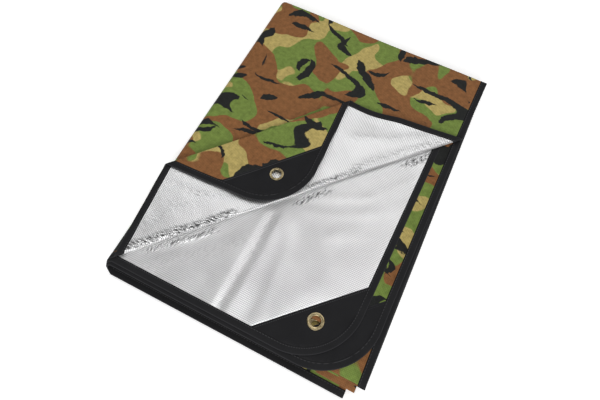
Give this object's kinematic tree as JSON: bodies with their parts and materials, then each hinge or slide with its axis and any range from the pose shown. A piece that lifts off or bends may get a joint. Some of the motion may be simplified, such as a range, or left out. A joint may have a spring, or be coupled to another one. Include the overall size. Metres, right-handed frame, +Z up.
{
  "type": "emergency foil blanket",
  "caption": "Heavy camouflage-faced foil survival blanket with bound edges, corner patches and eyelets, folded into a flat stack with its top corner turned back.",
  "frame": {"origin": "centre of the stack's box, on the surface it rests on", "axes": "+Z up, +Y along the stack's longer side towards its folded end, +X towards its bound long edge"},
  "size_m": [0.386, 0.5352, 0.0394],
  "materials": {
    "laminate": "aluminised woven laminate, camouflage print on its other face",
    "binding": "matt black woven tape",
    "patch": "matt black woven reinforcement",
    "eyelet": "dull antique plated brass"
  },
  "bodies": {
    "root": {"foil_cloth": "laminate", "edge_binding": "binding", "corner_patch_1": "patch", "eyelet_1": "eyelet", "corner_patch_2": "patch", "eyelet_2": "eyelet", "corner_patch_3": "patch", "eyelet_3": "eyelet", "corner_patch_4": "patch", "eyelet_4": "eyelet"}
  },
  "joints": []
}
